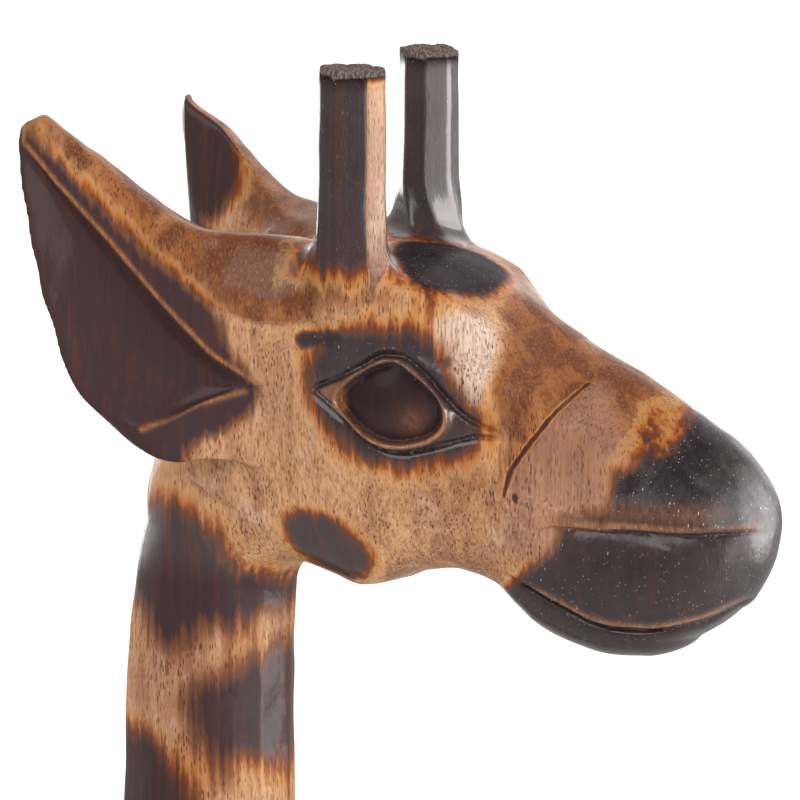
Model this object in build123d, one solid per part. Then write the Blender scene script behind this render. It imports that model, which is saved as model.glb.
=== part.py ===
from build123d import *

import math
import os

# Carved giraffe statue, one metre tall, standing on four hooves.
#
# The head, the ears, the horns and the neck are one carved block, because the grain runs upright through all
# of them. The torso, the four legs and the tail are carved on their own. Two dowels hold the neck on the
# shoulders, two dowels hold each leg, and the tail has a round peg of its own.
#
# +X is the way the statue faces, +Y is its left side and +Z is up, in millimetres. The sizes below are measured
# from a point on the floor in the middle of the four hooves. Each finished piece is then moved back along X, so
# that the statue's origin is on the floor under the middle of its whole length.

# --- Driving dimensions -------------------------------------------------------------------------------------
HEIGHT = 1000.0  # floor to the tops of the horns
LENGTH_MIDDLE_X = 55.42  # from the middle of the hooves to halfway between the lips and the tail
NECK_JOINT_Z = 612.0  # flat glue joint between the neck and the shoulders
LEG_JOINT_Z = 430.0  # flat glue joints between the legs and the torso
HOOF_X = 75.0  # hoof centres, ahead of and behind the middle of the hooves
HOOF_Y = 30.0  # hoof centres, to each side

GLUE_CLEARANCE = 0.05  # radial room for glue around each dowel and peg
GLUE_WELL = 1.0  # room for glue past each end of a dowel
NECK_DOWEL_R, NECK_DOWEL_LENGTH = 6.0, 70.0
NECK_DOWEL_XS = (52.0, 76.0)
LEG_DOWEL_R, LEG_DOWEL_LENGTH = 4.0, 50.0
FRONT_DOWEL_SPREAD, REAR_DOWEL_SPREAD = 9.0, 12.0  # from the middle of a leg's top to each of its dowels
TAIL_PEG_R, TAIL_PEG_LENGTH = 4.0, 26.0

# --- Head: stations from the back of the skull to the lips ---------------------------------------------------
# x, top, bottom, half width, height of the shoulder where the side turns into the sloping top
HEAD_STATIONS = [
    (78.0, 934.0, 885.0, 16.0, 921.0),
    (92.0, 946.5, 875.0, 22.0, 936.0),
    (112.0, 953.0, 871.0, 26.5, 945.5),
    (134.0, 954.0, 868.0, 29.8, 947.5),
    (152.0, 951.5, 872.0, 30.3, 944.0),
    (170.0, 944.8, 871.5, 27.8, 935.0),
    (186.0, 935.0, 860.0, 23.8, 920.0),
    (204.0, 925.8, 856.5, 21.0, 909.0),
    (220.0, 916.0, 860.0, 19.0, 899.0),
    (232.0, 905.5, 868.0, 15.0, 894.0),
    (239.5, 894.0, 878.0, 7.0, 889.0),
]

# --- Horns ----------------------------------------------------------------------------------------------------
HORN_X, HORN_Y = 139.0, 25.0
HORN_FLAT, HORN_FOOT_FLAT = 7.4, 10.5  # half the distance across the flats, on the shaft and at the foot
HORN_FOOT_Z, HORN_WAIST_Z = 944.0, 966.0

# --- Ear: rings from the root to the tip, on the right side ---------------------------------------------------
# Each ring is rim, floor of the hollow, back edge, crease behind the top, top ridge
RIGHT_EAR_RINGS = [
    [(113, -24, 922), (112, -21, 915), (112, -12, 905), (124, -10, 944), (127, -22, 955)],
    [(100, -30.5, 931.5), (95, -27, 921), (89, -35, 909.5), (106, -15, 951), (110, -27, 958.5)],
    [(90, -34, 941.5), (82, -32.5, 931.5), (74, -40, 920.5), (91, -19, 956), (95, -29, 963)],
    [(78, -37.5, 954), (71, -36.5, 948.5), (64.5, -42, 942), (74, -26, 966), (77, -33.5, 972.5)],
    [(66, -39.5, 972), (63, -39, 970.5), (60.5, -41.5, 967), (61, -35, 980), (62, -38.5, 983)],
]

# --- Neck: z, middle x, half depth along X, half width along Y -------------------------------------------------
NECK_FOOT = (NECK_JOINT_Z, 60.0, 40.0, 27.5)
NECK_STATIONS = [
    NECK_FOOT,
    (640.0, 67.0, 35.0, 26.0),
    (680.0, 74.5, 30.0, 24.0),
    (740.0, 82.0, 26.0, 21.5),
    (805.0, 87.0, 23.8, 20.2),
    (840.0, 87.8, 23.0, 19.9),
    (868.0, 90.2, 22.2, 19.6),
    (890.0, 94.3, 21.0, 18.6),
    (906.0, 98.0, 19.5, 17.5),
]
NECK_STUMP = [(545.0, 40.0, 62.0, 36.0), (580.0, 51.0, 50.0, 31.0), NECK_FOOT]

# --- Torso: x, middle z, half height, half width ---------------------------------------------------------------
TORSO_STATIONS = [
    (-110.0, 520.0, 20.0, 14.0),
    (-100.0, 514.0, 42.0, 28.0),
    (-72.0, 508.0, 60.0, 39.5),
    (-20.0, 507.0, 63.0, 41.0),
    (30.0, 516.0, 71.0, 43.0),
    (68.0, 525.0, 74.0, 39.0),
    (90.0, 529.0, 56.0, 27.0),
    (100.0, 531.0, 32.0, 15.0),
]

# --- Legs: z, middle x, middle y, half depth along X, half width along Y, for the left side --------------------
FRONT_LEG_TOP = (LEG_JOINT_Z, 70.0, 27.0, 20.0, 15.5)
FRONT_STUB = [(520.0, 62.0, 20.0, 34.0, 18.0), (470.0, 66.0, 25.0, 27.0, 17.5), FRONT_LEG_TOP]
FRONT_LEG = [
    FRONT_LEG_TOP,
    (380.0, 70.5, 28.0, 15.5, 13.5),
    (300.0, 71.0, 28.5, 13.0, 12.0),
    (224.0, 72.0, 29.0, 14.0, 12.8),
    (190.0, 71.0, 29.0, 11.8, 11.5),
    (110.0, 70.0, 29.5, 10.5, 10.5),
    (62.0, 70.5, 29.5, 11.6, 11.5),
    (40.0, 71.5, 29.5, 11.3, 11.3),
]
REAR_LEG_TOP = (LEG_JOINT_Z, -71.0, 26.0, 27.0, 16.0)
REAR_STUB = [(520.0, -62.0, 20.0, 40.0, 18.0), (470.0, -67.0, 25.0, 35.0, 18.0), REAR_LEG_TOP]
REAR_LEG = [
    REAR_LEG_TOP,
    (380.0, -75.0, 27.0, 20.0, 14.0),
    (320.0, -79.5, 28.0, 15.0, 12.5),
    (248.0, -86.0, 28.5, 14.5, 12.4),
    (200.0, -84.5, 28.5, 11.5, 11.2),
    (110.0, -81.0, 29.0, 10.5, 10.5),
    (62.0, -79.5, 29.5, 11.6, 11.5),
    (40.0, -78.5, 29.5, 11.3, 11.3),
]
HOOF_TOP_Z, HOOF_TOP_HALF = 32.0, (13.5, 13.0)
HOOF_SOLE_HALF = (19.0, 15.5)
HOOF_LEAN = 3.0  # how far ahead of its top the sole's middle is

# --- Tail: x, z, radius, from the root to the end of the tuft --------------------------------------------------
TAIL_STATIONS = [
    (-118.0, 528.0, 7.5),
    (-119.5, 500.0, 6.9),
    (-120.5, 455.0, 5.9),
    (-120.5, 415.0, 5.4),
    (-120.0, 385.0, 6.2),
    (-120.0, 358.0, 8.4),
    (-120.0, 334.0, 7.4),
    (-120.0, 312.0, 2.2),
]


def level_ellipse(x, y, z, half_x, half_y):
    """A horizontal ellipse."""
    return Plane(origin=(x, y, z), x_dir=(1, 0, 0), z_dir=(0, 0, 1)) * Ellipse(half_x, half_y)


def upright_ellipse(x, z, half_z, half_y):
    """An ellipse that faces along X."""
    return Plane(origin=(x, 0, z), x_dir=(0, 1, 0), z_dir=(1, 0, 0)) * Ellipse(half_y, half_z)


def mirrored(shape):
    """The same shape on the statue's other side."""
    return mirror(shape, about=Plane.XZ)


def head_section(x, top, bottom, half_width, shoulder):
    """One slice of the head: a house shape, flat cheeks under a sloping top, with every corner rounded."""
    depth = shoulder - bottom
    half = [
        (0.0, top),
        (0.55 * half_width, top - 0.25 * (top - shoulder)),
        (0.93 * half_width, shoulder),
        (half_width, shoulder - 0.35 * depth),
        (0.9 * half_width, shoulder - 0.72 * depth),
        (0.5 * half_width, bottom + 0.04 * depth),
        (0.0, bottom),
    ]
    other = [(-y, z) for y, z in reversed(half[1:-1])]
    outline = Spline([(x, y, z) for y, z in half + other], periodic=True)
    return make_face(outline)


def skull():
    """Forehead, cheeks and muzzle."""
    return loft([head_section(*station) for station in HEAD_STATIONS])


def octagon(flat, z):
    """A horizontal octagon around the right horn's axis."""
    radius = flat / math.cos(math.pi / 8)
    return Plane(origin=(HORN_X, -HORN_Y, z)) * RegularPolygon(radius, 8)


def right_horn():
    """An eight-sided horn that flares where it grows out of the head."""
    foot = loft([octagon(HORN_FOOT_FLAT, HORN_FOOT_Z), octagon(HORN_FLAT, HORN_WAIST_Z)])
    shaft = loft([octagon(HORN_FLAT, HORN_WAIST_Z), octagon(HORN_FLAT, HEIGHT)])
    return foot + shaft


def faceted(rings):
    """A closed solid through rings of points, with a flat triangle between each three of them."""
    count = len(rings[0])
    triangles = []
    for near, far in zip(rings, rings[1:]):
        for i in range(count):
            j = (i + 1) % count
            triangles.append((near[i], near[j], far[j]))
            triangles.append((near[i], far[j], far[i]))
    for ring in (rings[0], rings[-1]):
        triangles += [(ring[-1], ring[i], ring[i + 1]) for i in range(count - 2)]
    return Solid(Shell([Face(Wire.make_polygon(corners)) for corners in triangles]))


def neck():
    """The neck, from its flat glue joint up into the skull."""
    return loft([level_ellipse(x, 0, z, depth, width) for z, x, depth, width in NECK_STATIONS])


def upright_peg(x, y, middle_z, radius, length):
    """A round dowel, or the hole for one, standing upright across a flat joint."""
    return Pos(x, y, middle_z) * Cylinder(radius, length)


def neck_dowels(extra_radius=0.0, extra_length=0.0):
    radius = NECK_DOWEL_R + extra_radius
    length = NECK_DOWEL_LENGTH + 2 * extra_length
    return [upright_peg(x, 0, NECK_JOINT_Z, radius, length) for x in NECK_DOWEL_XS]


def leg_dowels(leg, spread, side, extra_radius=0.0, extra_length=0.0):
    """The two dowels of one leg; side is 1 for left and -1 for right."""
    _, x, y, _, _ = leg[0]
    radius = LEG_DOWEL_R + extra_radius
    length = LEG_DOWEL_LENGTH + 2 * extra_length
    return [upright_peg(x + dx, side * y, LEG_JOINT_Z, radius, length) for dx in (-spread, spread)]


def all_leg_dowels(extra_radius=0.0, extra_length=0.0):
    found = []
    for side in (1, -1):
        found += leg_dowels(FRONT_LEG, FRONT_DOWEL_SPREAD, side, extra_radius, extra_length)
        found += leg_dowels(REAR_LEG, REAR_DOWEL_SPREAD, side, extra_radius, extra_length)
    return found


def head_and_neck():
    ear = faceted(RIGHT_EAR_RINGS)
    horn = right_horn()
    block = skull() + neck()
    for piece in (horn, mirrored(horn), ear, mirrored(ear)):
        block += piece
    for hole in neck_dowels(GLUE_CLEARANCE, GLUE_WELL):
        block -= hole
    return block


def limb(stations):
    """A loft of horizontal ellipses on the statue's left side."""
    return loft([level_ellipse(x, y, z, depth, width) for z, x, y, depth, width in stations])


def tail_peg(extra_radius=0.0, extra_length=0.0):
    """The tail's round peg, which points into the rump along +X."""
    x, z, _ = TAIL_STATIONS[0]
    length = TAIL_PEG_LENGTH + extra_length
    peg = Cylinder(TAIL_PEG_R + extra_radius, length, align=(Align.CENTER, Align.CENTER, Align.MIN))
    return Plane(origin=(x, 0, z), x_dir=(0, 1, 0), z_dir=(1, 0, 0)) * peg


def torso():
    """Chest, belly and rump, with the stumps that the neck and the legs are glued to."""
    body = loft([upright_ellipse(x, z, half_z, half_y) for x, z, half_z, half_y in TORSO_STATIONS])
    body += loft([level_ellipse(x, 0, z, depth, width) for z, x, depth, width in NECK_STUMP])
    for stations in (FRONT_STUB, REAR_STUB):
        stub = limb(stations)
        body += stub
        body += mirrored(stub)
    holes = neck_dowels(GLUE_CLEARANCE, GLUE_WELL) + all_leg_dowels(GLUE_CLEARANCE, GLUE_WELL)
    for hole in holes + [tail_peg(GLUE_CLEARANCE, GLUE_WELL)]:
        body -= hole
    return body


def hoof(x, y):
    """A hoof that spreads from the ankle down to a flat sole on the floor."""
    top = level_ellipse(x - HOOF_LEAN, y, HOOF_TOP_Z, *HOOF_TOP_HALF)
    sole = level_ellipse(x, y, 0.0, *HOOF_SOLE_HALF)
    return loft([top, sole])


def left_leg(stations, spread, hoof_x):
    """One leg with its hoof and the holes for its two dowels."""
    z, x, y, depth, width = stations[-1]
    ankle_top = level_ellipse(x, y, z, depth, width)
    ankle_bottom = level_ellipse(hoof_x - HOOF_LEAN, HOOF_Y, HOOF_TOP_Z, *HOOF_TOP_HALF)
    shape = limb(stations) + loft([ankle_top, ankle_bottom]) + hoof(hoof_x, HOOF_Y)
    for hole in leg_dowels(stations, spread, 1, GLUE_CLEARANCE, GLUE_WELL):
        shape -= hole
    return shape


def tail():
    """The tail with its tuft, and the peg that holds it in the rump."""
    hanging = loft([level_ellipse(x, 0, z, radius, radius) for x, z, radius in TAIL_STATIONS])
    top_x, top_z, top_radius = TAIL_STATIONS[0]
    crown = Pos(top_x, 0, top_z) * Sphere(top_radius)
    return hanging + crown + tail_peg()


def main():
    os.makedirs("parts", exist_ok=True)
    front_left = left_leg(FRONT_LEG, FRONT_DOWEL_SPREAD, HOOF_X)
    rear_left = left_leg(REAR_LEG, REAR_DOWEL_SPREAD, -HOOF_X)
    nodes = {
        "head_and_neck": head_and_neck(),
        "torso": torso(),
        "front_left_leg": front_left,
        "front_right_leg": mirrored(front_left),
        "rear_left_leg": rear_left,
        "rear_right_leg": mirrored(rear_left),
        "tail": tail(),
        "neck_dowels": Compound(neck_dowels()),
        "leg_dowels": Compound(all_leg_dowels()),
    }
    to_origin = Pos(-LENGTH_MIDDLE_X, 0, 0)
    for name, shape in nodes.items():
        export_step(to_origin * shape, f"parts/{name}.step")


main()
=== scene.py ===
import math

import bpy
import numpy as np
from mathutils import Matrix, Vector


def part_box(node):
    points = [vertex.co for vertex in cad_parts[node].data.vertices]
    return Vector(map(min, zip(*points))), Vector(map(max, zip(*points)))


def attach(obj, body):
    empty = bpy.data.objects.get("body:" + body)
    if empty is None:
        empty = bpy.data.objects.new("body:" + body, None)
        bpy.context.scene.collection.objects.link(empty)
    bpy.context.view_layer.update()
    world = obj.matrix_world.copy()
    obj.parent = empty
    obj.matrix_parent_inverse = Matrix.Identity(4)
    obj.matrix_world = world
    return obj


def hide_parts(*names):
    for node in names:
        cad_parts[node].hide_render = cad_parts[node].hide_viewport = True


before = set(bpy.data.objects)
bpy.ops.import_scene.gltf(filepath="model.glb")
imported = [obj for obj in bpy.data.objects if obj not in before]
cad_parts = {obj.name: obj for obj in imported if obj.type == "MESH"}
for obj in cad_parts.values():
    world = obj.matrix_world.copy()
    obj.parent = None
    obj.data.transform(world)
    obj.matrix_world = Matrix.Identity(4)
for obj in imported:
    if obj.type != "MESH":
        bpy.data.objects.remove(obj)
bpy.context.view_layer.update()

import openvdb
from mathutils import Vector

# The wood is sculpted in millimetres, on the statue's own axes: x from the middle of the hooves to the lips,
# y to the statue's left and z up from the floor. Each finished mesh is then moved to the frame's origin.
LIPS_X = 239.5
MM = 0.001
HOOVES_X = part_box("head_and_neck")[1][0] / MM - LIPS_X  # where the middle of the hooves is in the frame
NECK_JOINT_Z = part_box("head_and_neck")[0][2] / MM
LEG_JOINT_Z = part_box("front_left_leg")[1][2] / MM
HORN_TOP_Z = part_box("head_and_neck")[1][2] / MM
VOXEL = 0.6
MOST_TRIANGLES = 190000  # in one piece
SEED = 7
MARGIN = 3  # mm of empty space past a carving's flat ends


# --- Small maths ---
def bend(a, b, leaving, arriving, t):
    """From a to b as t goes from 0 to 1, with the slopes that it leaves a and arrives at b with."""
    return (
        a * (1 + 2 * t) * (1 - t) ** 2 + b * t * t * (3 - 2 * t)
        + leaving * t * (1 - t) ** 2 - arriving * t * t * (1 - t)
    )


def curve(points, at):
    """A smooth line through (place, value) pairs that never overshoots them; flat past both ends."""
    place, value = np.array(points, float).T
    step = np.diff(place)
    slope = np.diff(value) / step
    tangent = np.zeros_like(value)
    tangent[0], tangent[-1] = slope[0], slope[-1]
    same_way = slope[:-1] * slope[1:] > 0
    with np.errstate(divide="ignore", invalid="ignore"):
        middle = 2 * slope[:-1] * slope[1:] / (slope[:-1] + slope[1:])
    tangent[1:-1] = np.where(same_way, middle, 0.0)
    at = np.clip(at, place[0], place[-1])
    i = np.clip(np.searchsorted(place, at, side="right") - 1, 0, len(step) - 1)
    t = (at - place[i]) / step[i]
    return bend(value[i], value[i + 1], tangent[i] * step[i], tangent[i + 1] * step[i], t)


def ease(low, high, value):
    """0 at low, 1 at high, smooth between them and flat past both. Low may be the larger one."""
    t = np.clip((value - low) / (high - low), 0.0, 1.0)
    return t * t * (3 - 2 * t)


def groove(gap, width):
    """1 on a line, fading to almost nothing at twice the width from it."""
    return np.exp(-((gap / width) ** 2))


def join(a, b, radius):
    """Union of two distance fields with a fillet."""
    blend = np.maximum(radius - np.abs(a - b), 0.0) / radius
    return np.minimum(a, b) - 0.25 * radius * blend * blend


def cut(a, b, radius):
    """Intersection of two distance fields with a rounded edge."""
    return -join(-a, -b, radius)


def line_distance(points, u, v):
    """Distance from each place to an open line, and how far along the line the nearest point is, 0 to 1."""
    points = np.array(points, float)
    lengths = np.hypot(*np.diff(points, axis=0).T)
    total, done = lengths.sum(), 0.0
    nearest = np.full(np.broadcast(u, v).shape, 1e9)
    along = np.zeros_like(nearest)
    for (au, av), (bu, bv), length in zip(points[:-1], points[1:], lengths):
        t = np.clip(((u - au) * (bu - au) + (v - av) * (bv - av)) / length**2, 0, 1)
        gap = np.hypot(u - au - t * (bu - au), v - av - t * (bv - av))
        closer = gap < nearest
        nearest = np.where(closer, gap, nearest)
        along = np.where(closer, (done + t * length) / total, along)
        done += length
    return nearest, along


def smooth_line(points, closed=False, steps=8):
    """A rounded line through the points."""
    points = np.array(points, float)
    if closed:
        padded = np.vstack([points[-1], points, points[:2]])
    else:
        padded = np.vstack([2 * points[0] - points[1], points, 2 * points[-1] - points[-2]])
    found = []
    for a, b, c, d in zip(padded[:-3], padded[1:-2], padded[2:-1], padded[3:]):
        for t in np.arange(steps) / steps:
            bent = 2 * b + (c - a) * t + (2 * a - 5 * b + 4 * c - d) * t**2
            found.append(0.5 * (bent + (3 * b - a - 3 * c + d) * t**3))
    if not closed:
        found.append(points[-1])
    return np.array(found)


def region_distance(points, u, v):
    """Signed distance to a closed outline: negative inside it."""
    points = np.array(points, float)
    ring = np.vstack([points, points[:1]])
    gap, _ = line_distance(ring, u, v)
    inside = np.zeros(gap.shape, bool)
    for (au, av), (bu, bv) in zip(ring[:-1], ring[1:]):
        if av != bv:
            inside ^= ((av > v) != (bv > v)) & (u < (bu - au) * (v - av) / (bv - av) + au)
    return np.where(inside, -gap, gap)


def soft_noise(x, y, z, size, seed, waves=9):
    """Smooth noise of about -1 to 1 at scattered points; size is its wavelength along x, y and z."""
    rng = np.random.default_rng(seed)
    total = np.zeros(np.broadcast(x, y, z).shape)
    for _ in range(waves):
        turn = rng.normal(size=3)
        turn *= (0.7 + 0.6 * rng.random()) / np.linalg.norm(turn)
        phase = 2 * math.pi * rng.random()
        cycles = x * turn[0] / size[0] + y * turn[1] / size[1] + z * turn[2] / size[2]
        total = total + np.sin(2 * math.pi * cycles + phase)
    return total / 4.0


# --- A block of space to carve in ---
class Space:
    """A box of points. A half space holds only y <= 0 of a symmetrical shape, and its mesh is mirrored. Low
    down the points may lie further apart along z."""

    COARSENS_OVER = 60  # mm of height

    def __init__(self, low, high, step=VOXEL, half=True, fine_above=None, coarse=1.0):
        self.step, self.half = step, half
        self.first_x, self.first_z = math.floor(low[0] / step), math.floor(high[2] / step) + 1
        self.x = step * np.arange(self.first_x, math.ceil(high[0] / step) + 1)
        if half:
            self.y = -step * np.arange(0, math.ceil(-low[1] / step) + 1)
        else:
            self.y = step * np.arange(math.floor(low[1] / step), math.ceil(high[1] / step) + 1)
        levels = [self.first_z * step]
        while levels[-1] > low[2]:
            spread = 1.0
            if fine_above is not None:
                spread += (coarse - 1) * ease(fine_above, fine_above - self.COARSENS_OVER, levels[-1])
            levels.append(levels[-1] - step * spread)
        self.z = np.array(levels[::-1])
        self.X, self.Y, self.Z = self.x[:, None, None], self.y[None, :, None], self.z[None, None, :]

    def mesh(self, field):
        """Points and four-sided faces of the closed surface where the field is zero."""
        y = self.y
        if self.half:
            field = np.concatenate([field[:, :0:-1], field], axis=1)
            y = np.concatenate([y[:0:-1], -y])
        field = field.astype(np.float32)
        empty = 5.0
        grid = openvdb.FloatGrid(empty)
        grid.copyFromArray(field)
        points, quads = grid.convertToQuads(0.0)
        points = settle(field, points.astype(float))
        axes = (self.x, y, self.z)
        places = [np.interp(points[:, i], np.arange(len(axes[i])), axes[i]) for i in range(3)]
        return np.stack(places, axis=1), quads


def even(field, space):
    """The field divided by its own slope, so that it grows about one millimetre per millimetre."""
    slopes = np.gradient(field, space.x, space.y, space.z)
    return field / np.clip(np.sqrt(sum(s * s for s in slopes)), 0.5, 6.0)


def soften(field):
    """The field with its sharpest edges rounded by about one point's spacing."""
    for axis in range(3):
        before, after = np.roll(field, 1, axis), np.roll(field, -1, axis)
        field = 0.5 * field + 0.25 * (before + after)
    return field



def settle(field, points, rounds=3):
    """Move mesh points onto the field's zero surface, at most half a cell in a round."""
    limit = np.array(field.shape) - 2
    for _ in range(rounds):
        cell = np.clip(np.floor(points).astype(int), 0, limit)
        f = points - cell
        value, slope = 0.0, np.zeros_like(points)
        for corner in np.ndindex(2, 2, 2):
            found = field[tuple((cell + corner).T)].astype(float)
            w = [f[:, axis] if far else 1 - f[:, axis] for axis, far in enumerate(corner)]
            value = value + found * w[0] * w[1] * w[2]
            for axis, far in enumerate(corner):
                a, b = (w[other] for other in range(3) if other != axis)
                slope[:, axis] += (2 * far - 1) * found * a * b
        size = np.maximum((slope**2).sum(1), 1e-6)
        move = slope * (value / size)[:, None]
        move *= np.minimum(1.0, 0.5 / np.maximum(np.abs(move).max(1), 1e-9))[:, None]
        points = points - move
    return points


# --- Head ---
RIDGE = [  # x, z of the line along the top of the head
    (66, 915), (75, 930), (86, 943), (100, 951), (120, 954), (140, 953.6), (154, 951), (167.4, 946.1),
    (176, 941.4), (183.1, 936.6), (193.4, 931.3), (206.2, 924.6), (219, 916.8), (231.1, 909.2), (240, 901),
]
UNDERSIDE = [  # x, z along the jaw
    (70, 890), (85, 878), (100, 872), (118.6, 871.4), (128.8, 869.2), (135.6, 867.4), (145, 869.5),
    (153, 873), (160, 874), (165.5, 873), (171.6, 870.6), (176.5, 865.8), (181, 861.6), (186, 859),
    (196, 856.4), (203, 855.7), (209, 856.1), (216, 858.3), (223, 860.8), (228, 864), (231, 867),
]
NOSE = [  # z, x down the front of the nose and the upper lip
    (862, 222), (866, 227.5), (868.6, 230.5), (871.1, 233), (874.5, 235), (878.2, 236.8), (884, 238.6),
    (890.7, 239.5), (896, 238.8), (900.7, 237), (909.5, 231.6), (917.3, 222), (924.6, 208.5), (932, 194),
]
HALF_WIDTH = [  # x, half the width of the head
    (66, 10), (78, 16), (92, 22), (105, 25.5), (120, 28), (135, 30), (150, 30.8), (162, 29.8), (172, 27.4),
    (182, 24.6), (192, 22.4), (205, 21), (218, 20), (228, 18.5), (240, 15),
]
ROOF_SLOPE = [  # x, how steeply the top of the head falls to each side
    (90, 0.3), (120, 0.14), (150, 0.07), (163, 0.1), (170, 0.3), (176, 0.55), (184, 0.75), (198, 0.95),
    (215, 1.05), (240, 0.9),
]
JAW_TAPER = [(90, 0.35), (130, 0.42), (165, 0.5), (185, 0.4), (200, 0.3), (240, 0.3)]
NAPE = [(860, 67), (882, 72.3), (894, 76.8), (905, 80), (918, 84), (930, 90), (942, 100), (950, 114)]  # z, x

EYEBALL = [
    (136.9, 920.4), (143.7, 926.6), (148.9, 929.2), (151.8, 929.5), (155.4, 927.5), (159.3, 924.4),
    (162.4, 921), (163.3, 918), (162.6, 914.8), (158.8, 911.7), (151.8, 909.9), (146.8, 910.6),
    (143.2, 912.5), (139.3, 916),
]
UPPER_LID_LINE = [
    (130, 921.3), (136.8, 924.5), (142.9, 927.6), (147.2, 930.3), (150.6, 931), (154.4, 930.2),
    (158.8, 926.6), (164, 920.8), (169.2, 916), (175.6, 912.9),
]
LOWER_LID_LINE = [
    (130, 920.9), (133.9, 918.3), (138.6, 914.9), (142.4, 911.2), (146.8, 908.6), (151.5, 907.6),
    (155.8, 908.3), (161.7, 910.2), (166.6, 911.7), (171, 912.7), (175.6, 912.6),
]
NOSTRIL_LEDGE = [
    (182.5, 889.2), (189, 890.6), (194.7, 890.6), (200.8, 890.7), (208.1, 891.3), (214.7, 891.3),
    (221.2, 891.2), (228.9, 891.4), (237.2, 891),
]
MOUTH = [
    (176.5, 876.6), (181.5, 874.3), (185.6, 872.2), (192.1, 869.2), (197.3, 867), (204.1, 865.8),
    (212.9, 866.2), (220.5, 867.9), (225.5, 869.5), (229.5, 871.7), (236, 874.5),
]
CHEEK_STEP = [(200.5, 931.5), (197.4, 927.9), (189, 918.7), (183.3, 910.9), (178.9, 904.4), (177, 897.4)]
CHIP = (179.5, 897.2)  # a small chip at the foot of the step
LID_CREST = 1.1  # from the eyeball's edge to the crest of the lids


def lid_opening(x, z, steps):
    """Signed distance to the outline of both lids."""
    upper, lower = smooth_line(UPPER_LID_LINE, steps=steps), smooth_line(LOWER_LID_LINE, steps=steps)
    return region_distance(np.vstack([upper, lower[::-1]]), x, z)


def eye_relief(x, z):
    """How far the carving of the eye stands out of the cheek, or into it where it is negative."""
    ball, opening = region_distance(smooth_line(EYEBALL, closed=True, steps=4), x, z), lid_opening(x, z, 4)
    mound = 1.8 * np.exp(-(((x - 150) / 24) ** 2 + ((z - 919) / 17) ** 2) ** 1.5)
    dome = 3.6 * (1 - np.exp(np.minimum(ball, 0) / 4.5)) - 2.3
    lid = -0.7 + 2.0 * groove(ball - LID_CREST, 0.85)
    around = -1.6 * groove(opening, 1.2) - 1.0 * groove(opening, 4.0)
    inside_ball, inside_lids = ease(0.35, -0.35, ball), ease(0.35, -0.35, opening)
    return mound + inside_ball * dome + (1 - inside_ball) * (inside_lids * lid + (1 - inside_lids) * around)


def cheek_step(x, z):
    """Signed distance to the cheek's step, positive on the muzzle's side, and how far along it that is."""
    gap, along = line_distance(CHEEK_STEP, x, z)
    line_x = curve([(b, a) for a, b in reversed(CHEEK_STEP)], z)
    return np.where(x > line_x, gap, -gap), along


def muzzle_relief(x, z):
    """The nostril ledge, the mouth and the step from the cheek down to the muzzle."""
    ledge_z = curve(NOSTRIL_LEDGE, x)
    below = ledge_z - z
    fade = ease(183, 194, x) * ease(243, 228, x)
    hollow = 3.0 * np.exp(-np.maximum(below, 0) / 5.5) * ease(-0.35, 0.55, below) * fade
    bulge = 1.3 * np.exp(-(((z - ledge_z - 3.5) / 5.0) ** 2)) * ease(0.35, -0.35, below) * ease(186, 205, x)
    under = curve(MOUTH, x) - z
    lip = ease(174, 182, x) * (
        1.9 * np.exp(-np.maximum(under, 0) / 1.6) * ease(-0.3, 0.5, under) + 1.5 * ease(-0.3, 0.5, under)
        + 1.0 * groove(under - 0.2, 0.8)
    )
    past_step, along = cheek_step(x, z)
    facet = 2.2 * ease(-0.4, 1.1, past_step) * np.exp(-np.maximum(past_step, 0) / 16)
    facet = facet * ease(0.0, 0.25, along) * ease(1.0, 0.93, along)
    scratch = 0.35 * groove(past_step - 3.2, 0.8) * ease(0.1, 0.3, along) * ease(1.0, 0.95, along)
    chip = 0.8 * groove(np.hypot(x - CHIP[0], (z - CHIP[1]) * 0.9), 1.6)
    return bulge - hollow - lip - facet - scratch - chip


def skull_field(space):
    """A block cut by the outlines of the head from the side, and rounded across."""
    z, wide = space.Z, np.abs(space.Y)
    flat_x, flat_z = space.x[:, None], space.z[None, :]
    ridge, under, half, taper, slope = (
        curve(line, flat_x) for line in (RIDGE, UNDERSIDE, HALF_WIDTH, JAW_TAPER, ROOF_SLOPE)
    )
    level = np.clip((flat_z - under) / (ridge - under), 0, 1)
    side = half * (1 - taper * (1 - level) ** 2.4 - 0.1 * level**3)
    side = side + eye_relief(flat_x, flat_z) + muzzle_relief(flat_x, flat_z)
    du, dv = np.gradient(side, VOXEL, space.z)
    steep = np.sqrt(1 + np.minimum(du**2 + dv**2, 4.0))
    sides = (wide - side[:, None, :]) / steep[:, None, :]

    ridge, under, half, slope = (line[:, :, None] for line in (ridge, under, half, slope))
    drop = slope * (np.sqrt(wide**2 + 6.0**2) - 6.0)
    roof = (z - (ridge - drop)) / np.sqrt(1.25 + slope**2)
    rise = 0.30 * half * (wide / half) ** 2
    floor = ((under + rise) - z) / 1.1
    front = (space.X - (curve(NOSE, z) - 0.045 * wide**2)) / 1.25
    back = (curve(NAPE, z) + 0.02 * wide**2 - space.X) / 1.1
    block = sides
    for face, radius in ((roof, 5.0), (front, 5.0), (floor, 6.0), (back, 6.0)):
        block = cut(block, face, radius)
    return block


# --- Neck ---
NECK = [  # z, middle x, half depth, half width
    (NECK_JOINT_Z, 60.0, 40.0, 27.5), (640, 67, 35, 26), (680, 74.5, 30, 24), (740, 82, 26, 21.5),
    (805, 87, 23.8, 20.2), (840, 87.8, 23, 19.9), (868, 90.4, 22, 19.6), (890, 95, 20.4, 18.6),
    (906, 99.5, 19, 17.5),
]
NECK_END_Z = 912.0  # inside the head


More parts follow.
